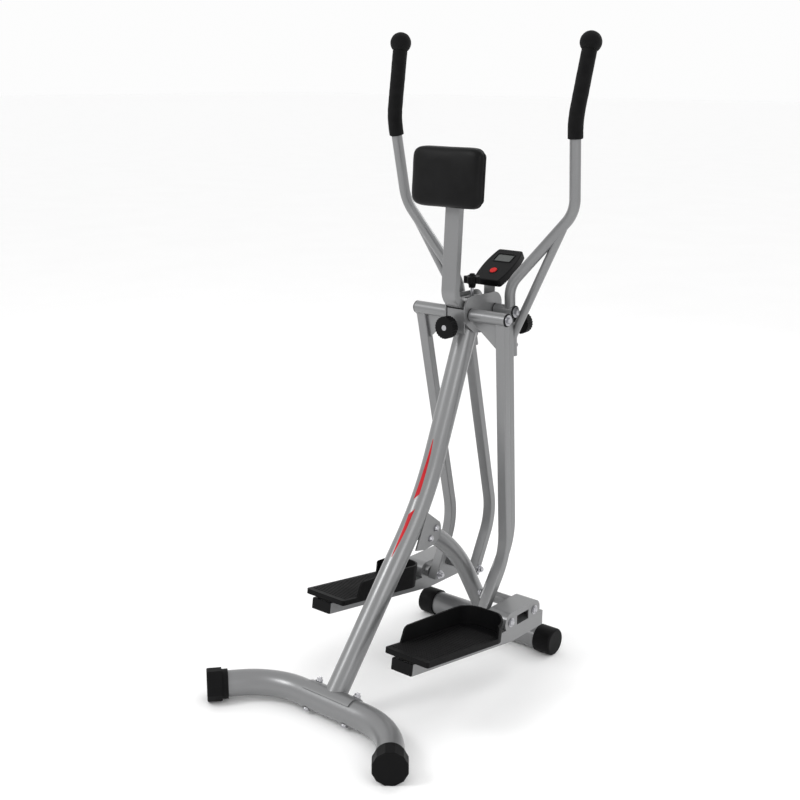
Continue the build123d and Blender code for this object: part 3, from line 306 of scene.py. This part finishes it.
PAD_PULL_SIDES = 0.024
PAD_PULL_ENDS = 0.026
PAD_WRINKLE = 0.00035
SEAM_POINTS = 160
SEAM_REACH = 1.3  # how far outside the pad the welt's probe points lie


def superellipse(angle, half_w, half_h, power):
    c, s = cos(angle), sin(angle)
    x = half_w * (abs(c) ** (2 / power)) * (1 if c >= 0 else -1)
    y = half_h * (abs(s) ** (2 / power)) * (1 if s >= 0 else -1)
    return x, y


def pad_point(x, y, t):
    """World point of a pad position: across, up, and out from the middle of its thickness."""
    return pad_mid + pad_x * x + pad_up * y + pad_out * t


def build_pad():
    """A crowned cushion grown by cloth pressure inside the CAD pad's own space."""
    verts = []
    faces = []
    for level, grow in PAD_RINGS:
        for k in range(PAD_SEGMENTS):
            angle = 2 * pi * k / PAD_SEGMENTS
            x, y = superellipse(angle, HALF_W * grow, HALF_H * grow, PAD_POWER)
            verts.append(pad_point(x, y, level * HALF_T * PAD_START_DEPTH))
    for r in range(len(PAD_RINGS) - 1):
        for k in range(PAD_SEGMENTS):
            a = r * PAD_SEGMENTS + k
            b = r * PAD_SEGMENTS + (k + 1) % PAD_SEGMENTS
            faces.append((a, b, b + PAD_SEGMENTS, a + PAD_SEGMENTS))
    faces.append(tuple(range(PAD_SEGMENTS)))
    last_ring = (len(PAD_RINGS) - 1) * PAD_SEGMENTS
    faces.append(tuple(range(last_ring, last_ring + PAD_SEGMENTS)))
    pad = new_mesh("Chest_pad", verts, faces, vinyl)
    remesh = pad.modifiers.new("Remesh", "REMESH")
    remesh.mode = "VOXEL"
    remesh.voxel_size = PAD_VOXEL
    apply_modifiers(pad)
    rest = [v.co.copy() for v in pad.data.vertices]
    cloth = pad.modifiers.new("Cloth", "CLOTH")
    cloth.settings.use_pressure = True
    cloth.settings.uniform_pressure_force = 4.0
    cloth.settings.effector_weights.gravity = 0.0
    cloth.settings.tension_stiffness = 25.0
    cloth.settings.compression_stiffness = 25.0
    cloth.settings.bending_stiffness = 12.0
    for step in range(1, 21):
        bpy.context.scene.frame_set(step)
    apply_modifiers(pad)
    bpy.context.scene.frame_set(1)
    for vertex, start in zip(pad.data.vertices, rest):
        move = vertex.co - start
        if move.length > PAD_SWELL_LIMIT:
            vertex.co = start + move * (PAD_SWELL_LIMIT / move.length)
        local = vertex.co - pad_mid
        t = local.dot(pad_out)
        x = local.dot(pad_x)
        y = local.dot(pad_up)
        inside_x = max(0.0, 1 - (x / HALF_W) ** 2)
        inside_y = max(0.0, 1 - (y / HALF_H) ** 2)
        crown = PAD_CROWN * inside_x * inside_y
        x, y = x * (1 - PAD_PULL_SIDES * inside_y), y * (1 - PAD_PULL_ENDS * inside_x)
        t_new = max(-HALF_T, min(HALF_T, t + (crown if t > 0 else 0.0)))
        wrinkle = PAD_WRINKLE * noise.noise(Vector((x * 60, y * 60, t * 60)))
        vertex.co = pad_point(x, y, t_new) + pad_out * wrinkle
    smooth = pad.modifiers.new("Smooth", "SMOOTH")
    smooth.factor = 0.5
    smooth.iterations = 12
    subdivision = pad.modifiers.new("Subdivision", "SUBSURF")
    subdivision.levels = 1
    subdivision.render_levels = 1
    apply_modifiers(pad)
    return pad


chest_pad = build_pad()
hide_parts("pad_cushion")
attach(chest_pad, "chest_pad")


def seam_ring(name, level, grow, radius, material):
    """A welt round the pad, laid on its own surface."""
    to_local = chest_pad.matrix_world.inverted()
    points = []
    for k in range(SEAM_POINTS):
        angle = 2 * pi * k / SEAM_POINTS
        x, y = superellipse(angle, HALF_W * grow, HALF_H * grow, PAD_POWER)
        probe = pad_point(x * SEAM_REACH, y * SEAM_REACH, level)
        place = chest_pad.closest_point_on_mesh(to_local @ probe)[1]
        points.append(chest_pad.matrix_world @ place)
    ring = tube_along(name, points, radius, material, 8, closed=True)
    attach(ring, "chest_pad")


seam_ring("Pad_rear_welt", -0.0150, 1.0, 0.0014, vinyl)


# --- Foam grips and end balls -------------------------------------------------------------------
FOAM_VOXEL = 0.0016
FOAM_UNEVEN = 0.0003
FOAM_UNEVEN_SCALE = 95.0


def build_foam(stem, side):
    """A soft foam piece in the place of its CAD solid, with rounded edges and slight unevenness."""
    source = nodes[f"{stem}_{side}"]
    piece = bpy.data.objects.new(f"Foam_{stem}_{side}", source.data.copy())
    collection.objects.link(piece)
    piece.matrix_world = source.matrix_world.copy()
    piece.data.materials.clear()
    piece.data.materials.append(foam)
    remesh = piece.modifiers.new("Remesh", "REMESH")
    remesh.mode = "VOXEL"
    remesh.voxel_size = FOAM_VOXEL
    smooth = piece.modifiers.new("Smooth", "SMOOTH")
    smooth.factor = 0.5
    smooth.iterations = 5
    apply_modifiers(piece)
    for vertex in piece.data.vertices:
        place = vertex.co
        ripple = noise.noise(place * FOAM_UNEVEN_SCALE)
        vertex.co = place + vertex.normal * FOAM_UNEVEN * ripple
    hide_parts(f"{stem}_{side}")
    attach(piece, f"rear_arm_{side}")


for side_name in SIDES:
    build_foam("grip", side_name)
    build_foam("handle_ball", side_name)


# --- Pedal treads -------------------------------------------------------------------------------
TRAY_PITCH = radians(8.4)
TREAD_HEEL_IN = 0.0057
TREAD_HEEL_UP = 0.0161
RIB_COUNT = 28
RIB_FIRST = 0.014
RIB_STEP = 0.0088
RIB_HEIGHT, RIB_HALF, RIB_END = 0.0014, 0.0022, 0.0016
RIB_REACH = 0.0515
TREAD_LENGTH = 0.281
TOE_RADIUS = 0.035
WALL_START, WALL_CLEAR = 0.05, 0.002  # the ribs stop short of the tray's side wall
tread_along = Vector((0, cos(TRAY_PITCH), -sin(TRAY_PITCH)))
tread_up = Vector((0, sin(TRAY_PITCH), cos(TRAY_PITCH)))


def build_tread(side):
    """Raised anti-slip ribs across the foot plate, each with sloping flanks and ends."""
    sign = SIDES[side]
    low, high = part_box(f"pedal_tray_{side}")
    cap_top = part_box(f"pedal_cap_{side}")[1][2]
    centre_x = (low[0] + high[0]) / 2
    heel_y = low[1] + TREAD_HEEL_IN
    heel_z = cap_top + TREAD_HEEL_UP
    verts = []
    faces = []
    profile = ((-RIB_HALF, 0, 0), (-RIB_HALF * 0.5, RIB_HEIGHT, RIB_END),
               (RIB_HALF * 0.5, RIB_HEIGHT, RIB_END), (RIB_HALF, 0, 0))
    for k in range(RIB_COUNT):
        distance = RIB_FIRST + RIB_STEP * k
        squeeze = 0.0
        from_toe = TREAD_LENGTH - distance
        if from_toe < TOE_RADIUS:
            along_arc = TOE_RADIUS - max(from_toe, 0.0)
            squeeze = TOE_RADIUS - (TOE_RADIUS ** 2 - along_arc ** 2) ** 0.5
        left = centre_x - RIB_REACH + squeeze
        right = centre_x + RIB_REACH - squeeze
        if sign > 0 and distance > WALL_START:
            left += WALL_CLEAR
        if sign < 0 and distance > WALL_START:
            right -= WALL_CLEAR
        base = len(verts)
        middle = Vector((0, heel_y, heel_z)) + tread_along * distance
        for x, inset in ((left, 1), (right, -1)):
            for across, lift, pull in profile:
                point = middle + tread_along * across + tread_up * lift
                verts.append(Vector((x + inset * pull, point.y, point.z)))
        faces += [(base, base + 1, base + 5, base + 4), (base + 1, base + 2, base + 6, base + 5),
                  (base + 2, base + 3, base + 7, base + 6), (base, base + 3, base + 2, base + 1),
                  (base + 4, base + 5, base + 6, base + 7), (base, base + 4, base + 7, base + 3)]
    tread = new_mesh(f"Pedal_tread_{side}", verts, faces, tray_plastic, smooth=False)
    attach(tread, f"pedal_{side}")


for side_name in SIDES:
    build_tread(side_name)


# --- Computer bezel -----------------------------------------------------------------------------
FACE_TILT = radians(30.2)
FACE_CENTRE = Vector((0, 0.353 + Y_SHIFT, 0.9475))
face_up = Vector((0, cos(FACE_TILT), sin(FACE_TILT)))
face_out = Vector((0, -sin(FACE_TILT), cos(FACE_TILT)))


def rounded_loop(centre_up, half_w, half_h, radius, lift):
    """Points of a rounded rectangle on the computer's face."""
    points = []
    for corner, (sx, sy) in enumerate(((1, 1), (-1, 1), (-1, -1), (1, -1))):
        for k in range(9):
            angle = (corner + k / 8) * pi / 2
            x = sx * (half_w - radius) + radius * cos(angle)
            y = sy * (half_h - radius) + radius * sin(angle)
            on_face = FACE_CENTRE + Vector((x, 0, 0)) + face_up * (centre_up + y)
            points.append(on_face + face_out * lift)
    return points


def build_bezel(name, centre_up, inner, outer, height):
    """A raised rounded frame; inner and outer are (half width, half height, corner radius)."""
    outer_top = [size - 0.0008 for size in outer]
    inner_top = [size + 0.0006 for size in inner]
    loops = [rounded_loop(centre_up, *outer, 0.0001), rounded_loop(centre_up, *outer_top, height),
             rounded_loop(centre_up, *inner_top, height), rounded_loop(centre_up, *inner, 0.0001)]
    count = len(loops[0])
    verts = [point for loop in loops for point in loop]
    faces = []
    for r in range(4):
        for k in range(count):
            a, b = r * count + k, r * count + (k + 1) % count
            c, d = ((r + 1) % 4) * count + (k + 1) % count, ((r + 1) % 4) * count + k
            faces.append((a, b, c, d))
    bezel = new_mesh(name, verts, faces, case_plastic)
    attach(bezel, "frame")


build_bezel("Screen_bezel", 0.026, (0.0231, 0.0131, 0.0030), (0.0268, 0.0168, 0.0052), 0.0011)
build_bezel("Key_collar", -0.0235, (0.00945, 0.00945, 0.00944), (0.0122, 0.0122, 0.01219), 0.0008)


# --- Red stripes on the post --------------------------------------------------------------------
POST_R = 0.0254
STRIPE_COLUMNS = 7
STRIPE_STEPS = 6
STRIPE_LIFT = 0.00025
LOW_LEAN = radians(39.2)
UP_LEAN = radians(21.9)
FOOT = Vector((0, -0.243 + Y_SHIFT, 0.0375))
CORNER_Z = 0.431
CORNER = Vector((0, FOOT.y + (CORNER_Z - FOOT.z) * sin(LOW_LEAN) / cos(LOW_LEAN), CORNER_Z))
BEND_R = 0.700
low_dir = Vector((0, sin(LOW_LEAN), cos(LOW_LEAN)))
up_dir = Vector((0, sin(UP_LEAN), cos(UP_LEAN)))
TANGENT = BEND_R * sin((LOW_LEAN - UP_LEAN) / 2) / cos((LOW_LEAN - UP_LEAN) / 2)
bend_start = CORNER - low_dir * TANGENT
bend_normal = Vector((0, -cos(LOW_LEAN), sin(LOW_LEAN)))
bend_centre = bend_start + bend_normal * BEND_R


def post_at(s):
    """Centre and direction of the post at distance s above (or below) the middle of its bend."""
    half_arc = BEND_R * (LOW_LEAN - UP_LEAN) / 2
    if s < -half_arc:
        return bend_start + low_dir * (s + half_arc), low_dir
    if s > half_arc:
        return CORNER + up_dir * (TANGENT + s - half_arc), up_dir
    turn = (s + half_arc) / BEND_R
    angle = LOW_LEAN - turn
    normal = Vector((0, -cos(angle), sin(angle)))
    return bend_centre - normal * BEND_R, Vector((0, sin(angle), cos(angle)))


def stripe(name, rows):
    """A thin decal on the user's side of the post; rows are (distance, left, right) round the tube."""
    verts = []
    faces = []
    across = STRIPE_COLUMNS
    for s, left, right in rows:
        centre, direction = post_at(s)
        front = Vector((0, -direction.z, direction.y))
        for k in range(across):
            arc = (left + (right - left) * k / (across - 1)) / POST_R
            outward = front * cos(arc) + Vector((1, 0, 0)) * sin(arc)
            verts.append(centre + outward * (POST_R + STRIPE_LIFT))
    for r in range(len(rows) - 1):
        for k in range(across - 1):
            a = r * across + k
            faces.append((a, a + 1, a + 1 + across, a + across))
    decal = new_mesh(name, verts, faces, stripe_red)
    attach(decal, "frame")


def spear(edges):
    """Rows of a stripe from (distance along the post, left edge, right edge round the tube)."""
    rows = []
    for (s0, left0, right0), (s1, left1, right1) in zip(edges, edges[1:]):
        for k in range(STRIPE_STEPS):
            f = k / STRIPE_STEPS
            left = left0 + (left1 - left0) * f
            right = right0 + (right1 - right0) * f
            rows.append((s0 + (s1 - s0) * f, left, right))
    rows.append(edges[-1])
    return rows


UPPER_STRIPE = [(-0.012, -0.0030, -0.0026), (0.004, -0.0030, 0.0075), (0.030, -0.0026, 0.0070),
                (0.070, -0.0014, 0.0064), (0.105, 0.0004, 0.0058), (0.138, 0.0020, 0.0034)]
LOWER_STRIPE = [(-0.034, 0.0092, 0.0096), (-0.050, -0.0012, 0.0088), (-0.085, 0.0004, 0.0084),
                (-0.120, 0.0012, 0.0068), (-0.158, 0.0026, 0.0038)]
stripe("Post_stripe_upper", spear(UPPER_STRIPE))
stripe("Post_stripe_lower", spear(LOWER_STRIPE))


# --- Weld beads ---------------------------------------------------------------------------------
WELD_UNEVEN = 0.0006
WELD_SCALE = 260.0


def weld(name, points, body, radius):
    bead = tube_along(name, points, radius, silver, 8)
    for vertex in bead.data.vertices:
        vertex.co += vertex.normal * WELD_UNEVEN * noise.noise(vertex.co * WELD_SCALE)
    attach(bead, body)


PIVOT_Z = 0.8495
REST_TILT = {"left": radians(13.0), "right": radians(3.6)}
HUBS = {"front": (0.209 + Y_SHIFT, 0.116), "rear": (0.304 + Y_SHIFT, 0.062)}
LEG_HALF_X, LEG_HALF_Y = 0.0130, 0.0098
HUB_BEAD_R = 0.0155
SQUARING = 1.35  # flattens a circle into a rounded square
EAR_X = 0.0246
EAR_FIRST, EAR_LENGTH = -0.168, 0.092
EAR_BEAD_R = 0.0255


def hub_weld(row, side):
    """A bead where the leg's top meets the pivot sleeve."""
    pivot_y, leg_x = HUBS[row]
    points = []
    for k in range(49):
        angle = 2 * pi * k / 48
        x = SIDES[side] * (leg_x + LEG_HALF_X * max(-1, min(1, SQUARING * cos(angle))))
        around = LEG_HALF_Y * max(-1, min(1, SQUARING * sin(angle)))
        drop = -(max(HUB_BEAD_R ** 2 - around ** 2, 0.0) ** 0.5)
        tilt = REST_TILT[side]
        y = pivot_y + around * cos(tilt) - drop * sin(tilt)
        z = PIVOT_Z + around * sin(tilt) + drop * cos(tilt)
        points.append(Vector((x, y, z)))
    weld(f"Weld_{row}_{side}", points, f"{row}_arm_{side}", 0.0013)


for row_name in HUBS:
    for side_name in SIDES:
        hub_weld(row_name, side_name)


def post_weld(name, x):
    """A bead down the line where an ear plate meets the post."""
    points = []
    for k in range(25):
        centre, direction = post_at(EAR_FIRST + EAR_LENGTH * k / 24)
        back = Vector((0, direction.z, -direction.y))
        depth = max(EAR_BEAD_R ** 2 - x ** 2, 0.0) ** 0.5
        points.append(centre + Vector((x, 0, 0)) + back * depth)
    weld(name, points, "frame", 0.0014)


post_weld("Weld_ear_right", EAR_X)
post_weld("Weld_ear_left", -EAR_X)


# --- Stage, light and camera --------------------------------------------------------------------
floor_material, floor_tree, floor_shader, floor_coords = shader("Floor", (0.86, 0.86, 0.86), 0.75)
floor_cloud = noise_node(floor_tree, floor_coords, 2.0)
tint(floor_tree, floor_shader, floor_cloud, (0.975, 0.975, 0.975), (0.99, 0.99, 0.99))
FLOOR_HALF = 60
floor_corners = [(-FLOOR_HALF, -FLOOR_HALF, 0), (FLOOR_HALF, -FLOOR_HALF, 0),
                 (FLOOR_HALF, FLOOR_HALF, 0), (-FLOOR_HALF, FLOOR_HALF, 0)]
floor = new_mesh("Floor", floor_corners, [(0, 1, 2, 3)], floor_material, False)

world = bpy.data.worlds.new("Studio")
world.use_nodes = True
world.node_tree.nodes["Background"].inputs["Color"].default_value = (1.0, 1.0, 1.0, 1.0)
world.node_tree.nodes["Background"].inputs["Strength"].default_value = 0.98
bpy.context.scene.world = world


def area_light(name, place, target, size, power):
    data = bpy.data.lights.new(name, "AREA")
    data.shape = "RECTANGLE"
    data.size = size
    data.size_y = size
    data.energy = power
    lamp = bpy.data.objects.new(name, data)
    collection.objects.link(lamp)
    lamp.location = place
    lamp.rotation_euler = (Vector(target) - Vector(place)).to_track_quat("-Z", "Y").to_euler()


area_light("Key", (-1.6, -2.6, 3.0), (0, 0, 0.7), 1.2, 42)
area_light("Fill", (3.0, -1.2, 2.0), (0, 0, 0.7), 1.4, 16)
area_light("Rim", (0.5, 3.0, 2.6), (0, 0, 0.9), 1.2, 16)

CAMERA_PLACE = Vector((1.7054, -2.0518 + Y_SHIFT, 1.3902))
CAMERA_AZIMUTH = radians(39.88)
CAMERA_PITCH = radians(14.83)
CAMERA_ROLL = radians(0.27)
FOCAL_PIXELS = 1240.5
IMAGE_PIXELS = 800.0
SENSOR = 36.0
look = Vector((-sin(CAMERA_AZIMUTH) * cos(CAMERA_PITCH),
               cos(CAMERA_AZIMUTH) * cos(CAMERA_PITCH), -sin(CAMERA_PITCH)))
camera_data = bpy.data.cameras.new("Camera")
camera_data.sensor_width = SENSOR
camera_data.lens = SENSOR * FOCAL_PIXELS / IMAGE_PIXELS
camera = bpy.data.objects.new("Camera", camera_data)
collection.objects.link(camera)
turn = look.to_track_quat("-Z", "Y").to_matrix() @ Matrix.Rotation(CAMERA_ROLL, 3, "Z")
camera.matrix_world = Matrix.Translation(CAMERA_PLACE) @ turn.to_4x4()
bpy.context.scene.camera = camera
bpy.context.scene.view_settings.view_transform = "Standard"
